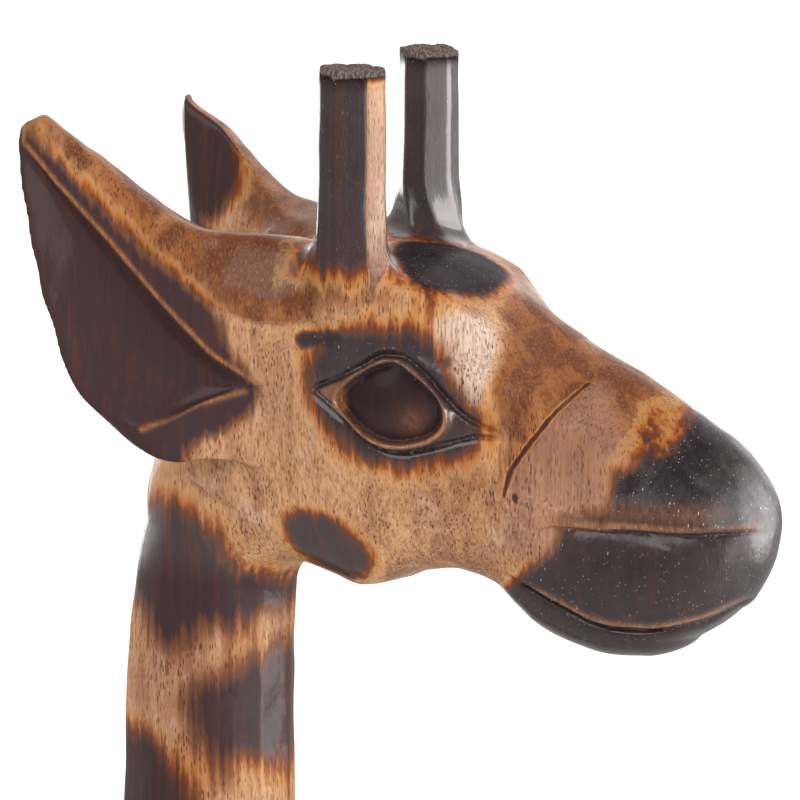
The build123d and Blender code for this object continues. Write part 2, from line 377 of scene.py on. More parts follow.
def column_field(stations, x, y, z, facets=10, flat=0.03):
    """An upright, softly faceted column with an oval section. A station may end in its middle y."""
    stations = sorted(stations)
    middle, depth, width = (curve([(s[0], s[i]) for s in stations], z) for i in (1, 2, 3))
    middle_y = curve([(s[0], s[4]) for s in stations], z) if len(stations[0]) > 4 else 0.0
    u, v = x - middle, y - middle_y
    reach = np.sqrt(u * u + v * v) + 1e-6
    oval = reach * (1 - 1 / np.maximum(np.sqrt((u / depth) ** 2 + (v / width) ** 2), 1e-3))
    planes = None
    for i in range(facets):
        angle = 2 * math.pi * (i + 0.5) / facets
        c, s = math.cos(angle), math.sin(angle)
        support = np.sqrt((depth * c) ** 2 + (width * s) ** 2) * (1 - flat)
        plane = u * c + v * s - support
        planes = plane if planes is None else np.maximum(planes, plane)
    return cut(oval, planes, 2.5)


def neck_field(space):
    return cut(column_field(NECK, space.X, space.Y, space.Z), space.Z - NECK_END_Z, 8.0)


# --- Horns ---
HORN_X, HORN_Y = 139.0, 25.0
HORN_ROOT_Z = 925
HORN_HALF = [  # z, half across the flats
    (HORN_ROOT_Z, 1.5), (936, 4.5), (946, 8), (955, 8.5), (975, 8), (1000, 7.8),
]
HORN_FACES = 8
HORN_NARROW_FACE = 1.05  # every other face stands this much further out, so it is narrower
HORN_LEAN = 0.012  # forwards, for each millimetre up


def horn_field(space):
    x, y, z = space.X, space.Y, space.Z
    half = curve(HORN_HALF, z)
    u, v = x - HORN_X - (z - HORN_TOP_Z) * HORN_LEAN, y + HORN_Y
    sides = None
    for i in range(HORN_FACES):
        angle = 2 * math.pi * (i + 0.5) / HORN_FACES
        out = half * (1.0 if i % 2 == 0 else HORN_NARROW_FACE)
        plane = u * math.cos(angle) + v * math.sin(angle) - out
        sides = plane if sides is None else cut(sides, plane, 0.8)
    charred = 0.3 * soft_noise(x, y, z, (5, 5, 12), SEED + 5)
    charred = charred + 0.22 * soft_noise(x, y, z, (2.2, 2.2, 6), SEED + 6)
    top = z - HORN_TOP_Z + 0.06 * (u + 7.5) + charred
    return cut(cut(sides, top, 0.8), HORN_ROOT_Z - z, 1.0)


# --- Ears ---
# Rings from the root to the tip of the right ear. Each ring is rim, two points of the hollow, back edge,
# underside edge, inner face, crease, band and the shadow line above the rim.
EAR_RINGS = [
    [(124, -16, 916), (120, -14, 914), (118, -14, 912), (117, -16, 912), (118, -14, 901), (118, -4, 914),
     (124, -5, 946), (134, -15, 950), (128, -16, 929)],
    [(115, -28.2, 921.8), (113, -26.5, 920.4), (112, -26.5, 919.8), (111, -27.6, 919.2), (112, -23, 900.5),
     (114, -8, 912), (117, -8, 952), (124, -22, 954.5), (119, -26, 933)],
    [(109.8, -30.3, 925.2), (106.5, -27.5, 921), (103.5, -28.5, 917.5), (101, -32.3, 916.3), (103, -28, 901),
     (106, -14, 915), (109, -14, 954.5), (115, -25, 956.5), (112.8, -29.6, 935.5)],
    [(104.1, -32, 929.1), (100, -28, 923.5), (94, -31, 917), (88, -38, 909.8), (91, -33.5, 901.2),
     (97, -18, 917), (102, -18, 955.5), (107.5, -27.5, 957), (106.8, -31.3, 939.3)],
    [(92.4, -35.2, 941.5), (86.7, -31, 935.8), (80, -34.5, 929), (71.6, -41.5, 919.2), (76, -36, 912.5),
     (84, -23, 935), (92, -23, 961.2), (97.5, -30.5, 958.2), (96, -33.3, 946.5)],
    [(80, -38, 956.3), (75.5, -34.5, 951.5), (70.5, -37.5, 946.5), (63.6, -43, 940.5), (66.5, -37.6, 936),
     (73, -28.5, 953), (81.5, -27, 969.8), (85.5, -33, 965.6), (83.2, -36.5, 958)],
    [(67.3, -40, 969.9), (65.4, -37.6, 967.6), (63.2, -39.6, 965.5), (59.4, -43.6, 962.8), (62, -38, 959.5),
     (66, -33.5, 969.5), (71.5, -31.5, 978.6), (74, -35.8, 975.8), (70.3, -38.8, 971.9)],
    [(59.4, -41.8, 979.6), (59, -41, 978.6), (58.4, -41.4, 977.6), (57.2, -42.8, 977), (58.6, -37.8, 976),
     (60.2, -35.2, 981.5), (62.6, -35, 985.8), (64.6, -38.4, 984.6), (60.4, -41.2, 981.8)],
    [(59, -41, 984.4), (58.8, -40.8, 984.2), (58.4, -40.8, 984), (57.8, -41.4, 983.6), (58.8, -38.8, 983),
     (60, -37, 985), (61.2, -36.8, 986.2), (62.2, -38.8, 985.8), (59.6, -40.6, 985.2)],
]
EAR_SHARP = (True, False, False, True, True, False, True, False, True)  # which of the ring's points are edges
LEFT_EAR_MOVES = (  # x, and how far the left ear is moved there along x, y and z
    [(58, 4.4), (60, 3.8), (62, 2.6), (66, 0.7), (75, 1.5), (95, 0.8), (115, 0)],
    [(58, 2), (61, 2), (65, 0.5), (75, 3.2), (95, 2), (115, 0)],
    [(58, -4.2), (68, -1.4), (85, 0.8), (100, 0.6), (115, 0)],
)
LEFT_HORN_TURN = math.radians(-32)  # so that one of its wide faces looks forwards


def left_side(points):
    """Hand carving is never quite even: the left ear is shorter and leans further out, and the left horn is
    slimmer and turned."""
    x, y, z = points.T
    moved = points.copy()
    ear = ease(17, 27, y) * ease(899, 906, z) * (x < 118)
    for axis, amounts in enumerate(LEFT_EAR_MOVES):
        moved[:, axis] += ear * curve(amounts, x)
    horn = ease(12, 16, y) * ease(952, 968, z) * ease(118, 124, x)
    u, v = x - HORN_X, y - HORN_Y
    turn, slim = LEFT_HORN_TURN * horn, 1 - 0.1 * horn
    moved[:, 0] += slim * (u * np.cos(turn) - v * np.sin(turn)) - u - 0.15 * horn
    moved[:, 1] += slim * (u * np.sin(turn) + v * np.cos(turn)) - v
    return moved


def round_ring(ring, steps=6):
    """A closed loop through a ring's points, with corners only at its edges."""
    count, loop = len(ring), []
    for i in range(count):
        a, b = ring[i], ring[(i + 1) % count]
        leaving = b - a if EAR_SHARP[i] else 0.5 * (b - ring[i - 1])
        arriving = b - a if EAR_SHARP[(i + 1) % count] else 0.5 * (ring[(i + 2) % count] - a)
        loop += [bend(a, b, leaving, arriving, t) for t in np.arange(steps) / steps]
    return loop


def ear_loops(count=46):
    """Loops of points round the right ear, from its root to its tip."""
    rings = np.array(EAR_RINGS, float)
    last = len(rings) - 1
    loops = np.zeros((count, rings.shape[1], 3))
    for i in range(rings.shape[1]):
        line = smooth_line(rings[:, i], steps=9)
        at = np.linspace(0, last, len(line))
        for axis in range(3):
            loops[:, i, axis] = np.interp(np.linspace(0, last, count), at, line[:, axis])
    return np.array([round_ring(loop) for loop in loops])


def tube(loops):
    """Points, quads and triangles of the closed tube through the loops."""
    rows, around = loops.shape[:2]
    points = np.vstack([loops.reshape(-1, 3), loops[0].mean(0), loops[-1].mean(0)])
    last, root, tip = (rows - 1) * around, rows * around, rows * around + 1
    pairs = [(i, (i + 1) % around) for i in range(around)]
    starts = range(0, last, around)
    quads = [(row + i, row + around + i, row + around + j, row + j) for row in starts for i, j in pairs]
    triangles = [face for i, j in pairs for face in ((root, i, j), (tip, last + j, last + i))]
    return points, np.array(quads), np.array(triangles)


def ear_field(space):
    """Distance to the right ear, which fills only the finely divided part of the space."""
    points, quads, triangles = tube(ear_loops())
    reach = 14
    grid = openvdb.FloatGrid.createLevelSetFromPolygons(
        points / VOXEL, triangles=triangles, quads=quads, halfWidth=reach
    )
    fine = np.sum(np.diff(space.z) < VOXEL * 1.001) + 1
    found = np.full((len(space.x), len(space.y), len(space.z)), float(reach) * VOXEL, np.float32)
    block = np.zeros((len(space.x), len(space.y), fine), np.float32)
    grid.copyToArray(block, ijk=(space.first_x, -(len(space.y) - 1), space.first_z - fine + 1))
    thicker = 0.3  # of a voxel, to make up for the softening
    found[:, :, len(space.z) - fine:] = (soften(soften(block[:, ::-1])) - thicker) * VOXEL
    return found


def ear_root_field(space):
    """The swelling between the ear's root and the horn."""
    u, v, w = (space.X - 115) / 23, (space.Y + 19) / 12, (space.Z - 941) / 14
    reach = np.sqrt(u * u + v * v + w * w) + 1e-6
    return (reach - 1) * 13.0


def carving_marks(space, size=1.0):
    """Shallow, uneven hollows that a knife leaves."""
    x, y, z = space.X, space.Y, space.Z
    broad = soft_noise(x, y, z, (17 * size, 15 * size, 26 * size), SEED)
    fine = soft_noise(x, y, z, (8 * size, 7 * size, 12 * size), SEED + 1)
    return 0.16 * (broad + 0.5 * fine)


CARVED_LINES = (  # x, z along each line, its depth and its width
    ([(99, 946), (107, 939.5), (119, 936.3), (133, 938)], 0.8, 1.0),
    ([(89, 895.6), (98, 889.5), (107, 885.6)], 0.6, 1.1),
    ([(105, 898), (111, 890), (118, 883)], 0.5, 1.3),
)


def carved_lines(space):
    """Knife lines under the swelling of the ear's root, and where the neck meets the jaw."""
    depth = 0.0
    for line, deep, width in CARVED_LINES:
        gap, along = line_distance(smooth_line(line, steps=4), space.x[:, None], space.z[None, :])
        depth = depth + deep * groove(gap, width) * ease(0, 0.15, along) * ease(1, 0.85, along)
    return depth[:, None, :] * (space.Y < -8)


def head_field(space):
    block = join(skull_field(space), neck_field(space), 9.0)
    for part, fillet in ((ear_root_field, 7.0), (ear_field, 4.0), (horn_field, 6.5)):
        block = join(block, part(space), fillet)
    block = block + carving_marks(space) + carved_lines(space)
    return np.maximum(block, NECK_JOINT_Z - space.Z)


# --- Body ---
TORSO = [  # x, middle z, half height, half width
    (-112, 520, 10, 7), (-108, 517, 28, 18), (-100, 514, 43, 28), (-72, 508, 60, 39.5), (-20, 507, 63, 41),
    (30, 516, 71, 43), (68, 525, 74, 39), (90, 529, 56, 27), (100, 531, 32, 15), (102, 531, 10, 6),
]
SHOULDERS = [  # z, middle x, half depth, half width
    (545, 40, 62, 36), (580, 51, 50, 31), (NECK_JOINT_Z, 60, 40, 27.5),
]
FRONT_LEG = [  # z, middle x, half depth along x, half width along y, middle y
    (520, 62, 34, 18, -20), (470, 66, 27, 17.5, -25), (LEG_JOINT_Z, 70, 20, 15.5, -27),
    (380, 70.5, 15.5, 13.5, -28), (300, 71, 13, 12, -28.5), (224, 72, 14, 12.8, -29),
    (190, 71, 11.8, 11.5, -29), (110, 70, 10.5, 10.5, -29.5), (62, 70.5, 11.6, 11.5, -29.5),
    (40, 71.5, 11.3, 11.3, -29.5), (32, 72, 13.5, 13, -30), (0, 75, 19, 15.5, -30),
]
REAR_LEG = [
    (520, -62, 40, 18, -20), (470, -67, 35, 18, -25), (LEG_JOINT_Z, -71, 27, 16, -26),
    (380, -75, 20, 14, -27), (320, -79.5, 15, 12.5, -28), (248, -86, 14.5, 12.4, -28.5),
    (200, -84.5, 11.5, 11.2, -28.5), (110, -81, 10.5, 10.5, -29), (62, -79.5, 11.6, 11.5, -29.5),
    (40, -78.5, 11.3, 11.3, -29.5), (32, -78, 13.5, 13, -30), (0, -75, 19, 15.5, -30),
]
TAIL = [  # z, middle x, half depth, half width
    (528, -118, 7.5, 7.5), (500, -119.5, 6.9, 6.9), (455, -120.5, 5.9, 5.9), (415, -120.5, 5.4, 5.4),
    (385, -120, 6.2, 6.2), (358, -120, 8.4, 8.4), (334, -120, 7.4, 7.4), (312, -120, 2.2, 2.2),
]
STUMP_TOP_Z, SHOULDERS_LOW_Z = 525, 540  # where the legs and the shoulders end inside the body
HOOF_SPLIT_TOP_Z = 25
TUFT_Z = 383.0
TAIL_ENDS_Z = (311, 532)


def torso_field(space):
    x, y, z = space.X, space.Y, space.Z
    middle, tall, wide = (curve([(s[0], s[i]) for s in TORSO], x) for i in (1, 2, 3))
    ring = np.sqrt((y / wide) ** 2 + ((z - middle) / tall) ** 2) + 1e-6
    reach = np.sqrt(y * y + (z - middle) ** 2)
    body = even(reach * (1 - 1 / ring), space)
    body = cut(body, np.abs(x + 5) - 107.0, 3.0)
    near_neck = 1.0 + 21.0 * ease(NECK_JOINT_Z, NECK_JOINT_Z - 45, z)
    block = join(body, cut(column_field(SHOULDERS, x, y, z), SHOULDERS_LOW_Z - z, 4.0), near_neck)
    near_legs = 1.0 + 15.0 * ease(LEG_JOINT_Z, LEG_JOINT_Z + 40, z)
    for leg in (FRONT_LEG, REAR_LEG):
        block = join(block, cut(column_field(leg[:3], x, y, z), z - STUMP_TOP_Z, 4.0), near_legs)
    fade = ease(LEG_JOINT_Z, LEG_JOINT_Z + 12, z) * ease(NECK_JOINT_Z, NECK_JOINT_Z - 12, z)
    block = block + 2.0 * fade * carving_marks(space, 1.6)
    return np.maximum(np.maximum(block, z - NECK_JOINT_Z), LEG_JOINT_Z - z)


def leg_field(space, stations):
    """A leg with a hoof that is split in front."""
    x, y, z = space.X, space.Y, space.Z
    column = column_field(stations[2:], x, y, z, facets=8, flat=0.05)
    sole_z, hoof_x, hoof_half, _, hoof_y = stations[-1]
    toe_x = hoof_x + hoof_half * (1 - z / 90)
    split = np.maximum(np.abs(y - hoof_y) * 0.8 - (x - toe_x + 6.0) * 0.5, z - HOOF_SPLIT_TOP_Z)
    column = cut(column, -split, 1.2)
    column = column + 1.2 * ease(LEG_JOINT_Z, LEG_JOINT_Z - 12, z) * carving_marks(space)
    return np.maximum(np.maximum(column, z - LEG_JOINT_Z), sole_z - z)


def tail_field(space):
    """The hanging tail, its tuft and the round peg that meets the rump."""
    x, y, z = space.X, space.Y, space.Z
    low, high = TAIL_ENDS_Z
    column = cut(column_field(TAIL, x, y, z, facets=7, flat=0.04), z - high, 5.0)
    column = cut(column, low - z, 2.0)
    strands = 0.5 * np.sin(9 * np.arctan2(y, x + 120) + 0.05 * z) * ease(392, 372, z)
    peg = np.maximum(np.hypot(y, z - TAIL[0][0] + 4) - 4.0, np.abs(x + 112) - 7.0)
    return join(column + strands, peg, 3.0)


# --- Meshes ---
def to_object(name, points, faces):
    """A smooth mesh object, thinned out if it holds too many triangles."""
    mesh = bpy.data.meshes.new(name)
    places = (points + np.array([HOOVES_X, 0, 0])) * MM
    mesh.from_pydata(places.tolist(), [], faces.tolist())
    obj = bpy.data.objects.new(name, mesh)
    bpy.context.scene.collection.objects.link(obj)
    if 2 * len(faces) > MOST_TRIANGLES:
        thin = obj.modifiers.new("thin", "DECIMATE")
        thin.ratio = MOST_TRIANGLES / (2 * len(faces))
        bpy.context.view_layer.objects.active = obj
        bpy.ops.object.modifier_apply(modifier=thin.name)
    obj.data.shade_smooth()
    return obj


def carved_piece(name, node, space, field, reshape=None, mirror=False):
    """Cuts the field's shape out of the space and puts it in the place of a CAD node."""
    points, faces = space.mesh(field)
    if reshape:
        points = reshape(points)
    if mirror:
        points, faces = points * np.array([1, -1, 1]), faces[:, ::-1]
    obj = to_object(name, points, faces)
    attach(obj, "root")
    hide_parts(node)
    return obj


def carve_all():
    pieces = {}
    low, high = (17, -47, NECK_JOINT_Z - MARGIN), (244, 0, HORN_TOP_Z + MARGIN)
    space = Space(low, high, fine_above=862, coarse=2.6)
    pieces["head_and_neck"] = carved_piece(
        "head_and_neck_carving", "head_and_neck", space, head_field(space), reshape=left_side
    )
    low, high = (-116, -48, LEG_JOINT_Z - MARGIN), (106, 0, NECK_JOINT_Z + MARGIN)
    space = Space(low, high, step=2.4 * VOXEL)
    pieces["torso"] = carved_piece("torso_carving", "torso", space, torso_field(space))
    for end, stations in (("front", FRONT_LEG), ("rear", REAR_LEG)):
        xs = [s[1] for s in stations[2:]]
        low, high = (min(xs) - 30, -50, -MARGIN), (max(xs) + 30, -8, LEG_JOINT_Z + MARGIN)
        space = Space(low, high, step=1.7 * VOXEL, half=False)
        field = leg_field(space, stations)
        for side in ("right", "left"):
            node = f"{end}_{side}_leg"
            pieces[node] = carved_piece(node + "_carving", node, space, field, mirror=side == "left")
    space = Space((-132, -13, 306), (-102, 0, 538), step=1.4 * VOXEL)
    pieces["tail"] = carved_piece("tail_carving", "tail", space, tail_field(space))
    return pieces


# --- Scorching ---
# Every point of a carving gets six painted amounts, which the wood's material reads:
#   burn  millimetres to the edge of the nearest scorched patch, below zero inside it; the ear's patch also
#         takes in painted shade on the narrow facet above its rim
#   char  how black the scorching is: 1 is charcoal, and ASHEN is ash
#   dull  how far the varnish's gloss is missing, 0 to 1
#   worn  how far rubbing has taken the scorching off again, 0 to 1, and on the eyeball a painted highlight
#   warm  how much oranger than the pale wood the bare wood is, 0 to 1.6; below zero it is paler: the
#         horns' faces, pale from bleaching, and a painted highlight above the eye's front corner
#   rose  how much greyer, pinker and darker the bare wood is, 0 to 1; on the facet below the cheek's step
#         this is painted shade with a painted reflection of the white surround
PAINTED = ("burn", "char", "dull", "worn", "warm", "rose")
ASHEN = 1.5
FAR = 20.0  # mm from a patch, past the reach of its scorching
# Outlines are x and z on the side of the head, in the statue's millimetres.
MUZZLE_PATCH = [
    (219, 920), (217, 914.5), (213, 909.5), (210.5, 917), (208.5, 907.5), (204.5, 905), (202.5, 897.5),
    (196, 894.5), (190.5, 892), (187.5, 884), (180, 877.5), (174, 868), (178, 850), (250, 850), (250, 920),
]
EYE_PATCH = [
    (131, 933.5), (139, 936.8), (152.7, 938.3), (160.5, 935), (165.5, 927), (172.5, 915.5), (170.5, 909),
    (162, 905.5), (151.9, 903), (141, 905), (133, 911.5), (128, 920.9),
]
# The hollow side of the ear is scorched; the patch reaches up to the shadow line above the rim, so the narrow
# facet between the rim and the shadow line is painted shade.
EAR_PATCH = [  # the hollow side of the ear
    (54, 990), (60.4, 983), (70.3, 972.3), (83.2, 958.6), (96, 947.2), (106.5, 938.5), (108, 931.5),
    (113.5, 922), (113.5, 917), (109, 911), (99, 906), (90, 898), (40, 898), (40, 990),
]
EAR_BACK_PATCH = [  # the side of the ear that faces the other ear
    (50, 995), (72, 983), (82, 972), (84, 962), (80, 955), (71, 950.5), (40, 953), (40, 995),
]
JAW_PATCH = [(119, 886.5), (125, 888.5), (134, 887), (141.5, 879), (136, 871.5), (127, 873), (120, 878.5)]
TEMPLE_MARK = [(125.8, 934.4), (131, 936), (138, 937), (138, 933), (131, 932), (127, 931.4)]
NECK_PATCHES = (
    [(66, 889), (78, 884), (85, 887), (92, 884.5), (99.5, 880), (103.5, 872), (111, 867), (115, 860.5),
     (106, 857), (98, 853), (94.5, 855.5), (88, 849), (80, 851), (74, 858), (60, 862)],
    [(90, 836), (93.5, 840.5), (104, 844), (116, 849), (116, 808), (108, 818), (101, 819.5), (98, 813),
     (95, 820), (91, 828)],
    [(56, 829), (70, 824.5), (80, 824), (87, 818), (92, 808), (92, 788), (56, 780)],
)
# A painted highlight, as paler wood, where the side of the head turns to its top above the eye's front corner
HIGHLIGHT_PATCH = [(160, 938.5), (166, 941.5), (172.5, 938), (174, 930), (171.5, 920), (166.5, 926)]
EAR_TOP_EDGE = [
    (54, 990), (60.4, 983), (70.3, 972.3), (83.2, 958.6), (96, 947.2), (107, 939), (120, 937), (138, 940),
]
FOREHEAD_PATCH = [  # x, y
    (141, -5), (150, -22), (159, -26), (167.5, -14), (168.5, 3), (163, 14), (151, 15), (142, 9),
]
COAT_TOP_Z = 795.0  # below it the patches fill the coat evenly
COAT_STRETCH = (1, 1, 0.85)  # the coat's patches are longer upwards
PATCH_SPACING = [  # z, middle to middle
    (30, 20), (180, 24), (330, 29), (430, 34), (520, 43), (600, 38), (800, 34),
]
PATCH_GAP = [(30, 7), (330, 9), (520, 12.5), (800, 13)]  # z, width of the pale lines between patches


class Skin:
    """The points of a carving in the statue's millimetres, with which way each one faces."""

    def __init__(self, obj):
        count = len(obj.data.vertices)
        places, normals = np.empty(count * 3), np.empty(count * 3)
        obj.data.vertices.foreach_get("co", places)
        obj.data.vertex_normals.foreach_get("vector", normals)
        self.points = places.reshape(-1, 3) / MM - np.array([HOOVES_X, 0, 0])
        self.x, self.y, self.z = self.points.T
        self.wide = np.abs(self.y)
        self.normal = normals.reshape(-1, 3)
        self.by_eye = (self.wide > 14) & (self.x > 120)

    def patch(self, outline, where=True):
        """Signed distance to an outline on the side of the head, at the points where it applies."""
        outline = smooth_line(outline, closed=True, steps=3)
        return np.where(where, region_distance(outline, self.x, self.z), FAR)

    def near(self, line, width):
        """1 on a line through space, given as x, distance from the middle and z, and less further off."""
        gap = np.full(len(self.x), 1e9)
        line = np.array(line, float)
        for a, b in zip(line[:-1], line[1:]):
            along = b - a
            offset = np.stack([self.x - a[0], self.wide - a[1], self.z - a[2]], axis=1)
            t = np.clip(offset @ along / (along @ along), 0, 1)
            gap = np.minimum(gap, np.linalg.norm(offset - t[:, None] * along, axis=1))
        return groove(gap, width)


def patch_middles(cloud, tries=6000):
    """Middles of the giraffe's patches: points of the body that keep their distance from one another."""
    rng = np.random.default_rng(SEED + 20)
    cloud = cloud[(cloud[:, 2] < COAT_TOP_Z + 20) & (cloud[:, 2] > 30)]
    kept = []
    for point in cloud[rng.permutation(len(cloud))[:tries]]:
        room = float(curve(PATCH_SPACING, point[2]))
        if all(np.linalg.norm((point - other) * COAT_STRETCH) > room for other in kept):
            kept.append(point)
    return np.array(kept)


def coat_patches(skin, middles):
    """Signed distance to the giraffe's patches, which fill the coat like cobbles."""
    x, y, z = skin.points.T
    wander = [1.6 * soft_noise(x, y, z, (19, 19, 23), SEED + 30 + i) for i in range(3)]
    places = skin.points + np.stack(wander, axis=1)
    gaps = np.linalg.norm((places[:, None, :] - middles[None, :, :]) * COAT_STRETCH, axis=2)
    order = np.argsort(gaps, axis=1)[:, :2]
    first, second = np.take_along_axis(gaps, order, axis=1).T
    apart = np.linalg.norm(middles[order[:, 0]] - middles[order[:, 1]], axis=1)
    return curve(PATCH_GAP, z) / 2 - (second**2 - first**2) / (2 * np.maximum(apart, 1.0))


def horn_patch(skin):
    """Signed distance to a horn's scorching, which spares the right horn's face towards the lips."""
    x, y, z = skin.points.T
    foot_z = np.where(y < 0, 951.5, 950.0) + 1.6 * np.sin(0.9 * x) * np.cos(0.7 * y)
    horn = np.maximum(foot_z - z, np.hypot(x - HORN_X, skin.wide - HORN_Y) - 14)
    pale_face = np.where(y < 0, skin.normal @ np.array([0.93, -0.37, 0.0]), -1.0)
    return np.where(z > 940, horn, FAR) + 16 * ease(0.86, 0.93, pale_face) * ease(1000, 993, z)


def head_patches(skin, middles):
    """Signed distance to each scorched patch of the head, to the dark line along the cheek's step and to its
    chip. The ear's hollow patch reaches up to the shadow line above the rim, so the narrow facet there is
    painted shade.
    """
    x, y, z = skin.points.T
    wide, outward = skin.wide, skin.normal[:, 1] * np.sign(y)
    on_ear, upper_neck = (wide > 21) & (x < 119) & (z > 897), (z < 895) & (wide < 24) & (x < 122)
    forehead = region_distance(smooth_line(FOREHEAD_PATCH, closed=True, steps=3), x, y)
    bands = np.minimum.reduce([skin.patch(outline) for outline in NECK_PATCHES])
    step_gap = np.abs(cheek_step(x, z)[0])
    chip_gap = np.hypot(x - CHIP[0], 0.7 * (z - CHIP[1]) + 0.6 * (x - CHIP[0]))
    return {
        "muzzle": skin.patch(MUZZLE_PATCH),
        "eye": skin.patch(EYE_PATCH, skin.by_eye),
        # the ear's scorched hollow, and painted shade on the narrow facet above its rim
        "ear_hollow_and_shade": skin.patch(EAR_PATCH, on_ear) + 14 * (1 - ease(-0.5, -0.15, outward)),
        "ear_back": skin.patch(EAR_BACK_PATCH, on_ear) + 14 * (1 - ease(-0.05, -0.35, outward)),
        "jaw": skin.patch(JAW_PATCH, wide > 8),
        "temple": skin.patch(TEMPLE_MARK, (wide > 20) & (y < 0)),
        "forehead": np.where(z > 935, forehead, FAR),
        "horn": horn_patch(skin),
        "neck": np.where(upper_neck, bands, FAR),
        "coat": np.maximum(coat_patches(skin, middles), z - COAT_TOP_Z + 4),
        # a dark line painted along the cheek's step and a dark spot in its chip
        "crease": np.where((wide > 8) & (z < 925), 14 * (step_gap - 0.4), FAR),
        "chip": np.where(wide > 8, 14 * (chip_gap - 0.7), FAR),
    }


def head_burn(skin, middles):
    """The burn, char and dull amounts of the head."""
    x, z, far = skin.x, skin.z, head_patches(skin, middles)
    narrower = {  # how much narrower than usual a patch's fringe is
        "muzzle": 2.4 - 1.1 * ease(900, 912, z), "eye": 1.15, "ear_hollow_and_shade": 2.2, "ear_back": 1.4, "jaw": 1.8,
        "temple": 4.5, "forehead": 2.0, "horn": 1.2, "neck": 0.9,
    }
    burn = np.minimum.reduce([narrower.get(name, 1) * gap for name, gap in far.items()])
    eyeball = np.where(skin.by_eye, region_distance(EYEBALL, x, z), FAR)
    glint = ease(2, -2, eyeball) * ease(921, 914, z + 0.35 * (150 - x))
    black = 1 - 0.25 * ease(0.5, -1.5, z - curve(NOSTRIL_LEDGE, x))
    char = np.maximum.reduce([
        black * ease(3, -3, far["muzzle"]), 0.65 * ease(2, -2, far["eye"]), ease(1, -1, far["forehead"]),
        0.55 * ease(2, -2, far["horn"]), ASHEN * ease(996.6, 998.2, z), 0.9 * ease(1, -1, far["temple"]),
        0.25 * ease(2, -2, far["jaw"]), 0.1 * ease(2, -2, far["neck"]),
    ])
    dull = np.maximum.reduce([
        0.75 * ease(2, -2, far["ear_hollow_and_shade"]), 0.7 * ease(2, -2, far["ear_back"]),
        0.84 * ease(2, -1, far["forehead"]), 0.86 * ease(1, -1, eyeball),
        0.9 * ease(20, 4, np.minimum(far["crease"], far["chip"])), ease(994, 998, z),
        0.7 * ease(875, 865, z) * (x < 122),
    ])
    return burn, char * (1 - 0.9 * glint), dull


def ear_line(point):
    """The line through one point of the ear's rings: x, distance from the middle and z."""
    return [(ring[point][0], -ring[point][1], ring[point][2]) for ring in EAR_RINGS[1:]]


def head_wear_and_highlight(skin):
    """Where hands and sanding have taken the scorching off the raised edges of the head, and a painted
    highlight on the lower part of the eyeball.
    """
    x, z, wide = skin.x, skin.z, skin.wide
    side = (wide > 12) & (x > 120)
    ball = region_distance(smooth_line(EYEBALL, closed=True, steps=3), x, z)
    in_lids = -lid_opening(x, z, 3)
    crest = groove(ball - LID_CREST, 0.7) * ease(-0.2, 0.8, in_lids) * (0.55 + 0.45 * ease(922, 914, z))
    back_corner = 0.7 * ease(0.2, 1.0, in_lids) * ease(139.5, 137.5, x)
    lids = np.maximum(crest, back_corner) * side
    above_ledge = z - curve(NOSTRIL_LEDGE, x)
    ledge = groove(above_ledge - 1.2, 1.0 + 0.8 * ease(210, 192, x)) * ease(183, 190, x)
    ledge = ledge * (0.85 - 0.5 * ease(212, 228, x))
    dusty = 0.32 * groove(above_ledge - 4.5, 2.6) * ease(193, 201, x) * ease(233, 222, x)
    ledge = np.maximum(ledge, dusty) * (wide > 7)
    # painted highlight on the lower part of the eyeball, in the colour of edges that rubbing has bared
    eye_highlight = 0.32 * groove(np.hypot(x - 156, z - 915.5), 3.2) * ease(0, -1, ball) * side
    lip = 0.8 * groove(z - curve(MOUTH, x) - 0.9, 0.8) * ease(181, 187, x) * ease(236, 226, x)
    rims = np.maximum(1.2 * skin.near(ear_line(0), 0.55), 0.9 * skin.near(ear_line(3)[:3], 0.7))
    return np.clip(np.maximum.reduce([lids, ledge, lip, rims, eye_highlight]), 0, 1)


def head_warmth(skin):
    """The top of the head and the rings round the horns are the colour of toffee, darkest behind the horns. A
    painted highlight above the eye's front corner, where the side of the head turns to its top, and the
    horns' faces, pale from bleaching, are below zero."""
    x, z, wide = skin.x, skin.z, skin.wide
    from_horn = np.hypot(x - HORN_X, wide - HORN_Y)
    up = 0.9 * ease(0.1, 0.75, skin.normal[:, 2]) * (z > 905)
    horn_foot = 0.9 * groove(from_horn - 9, 6) * ease(938, 948, z)
    nose = (0.2 + 0.95 * ease(885, 922, z + 0.35 * (x - 190))) * ease(158, 178, x)
    edge = curve(EAR_TOP_EDGE, x)
    ear_top = ease(edge - 0.8, edge + 1.2, z) * (wide > 12) * ease(137, 128, x)
    under_eye = 0.6 * groove(np.hypot((x - 165) / 15, (z - 904) / 8), 1.0)
    behind_horns = 0.8 * np.exp(-(((x - 116) / 15) ** 2 + ((z - 952) / 9) ** 2)) * (wide > 8)
    # the painted highlight above the eye's front corner, then the horns' faces, pale from bleaching
    bleach_and_highlight = 1.3 * ease(3, -2, skin.patch(HIGHLIGHT_PATCH)) * (wide > 14)
    bleach_and_highlight = np.maximum(bleach_and_highlight, 0.35 * ease(9.5, 8.8, from_horn) * ease(953, 962, z))
    warm = np.maximum.reduce([up, horn_foot, nose, ear_top, under_eye]) + behind_horns
    return np.clip(warm, 0, 1.6) * (1 - np.minimum(bleach_and_highlight, 1)) - bleach_and_highlight


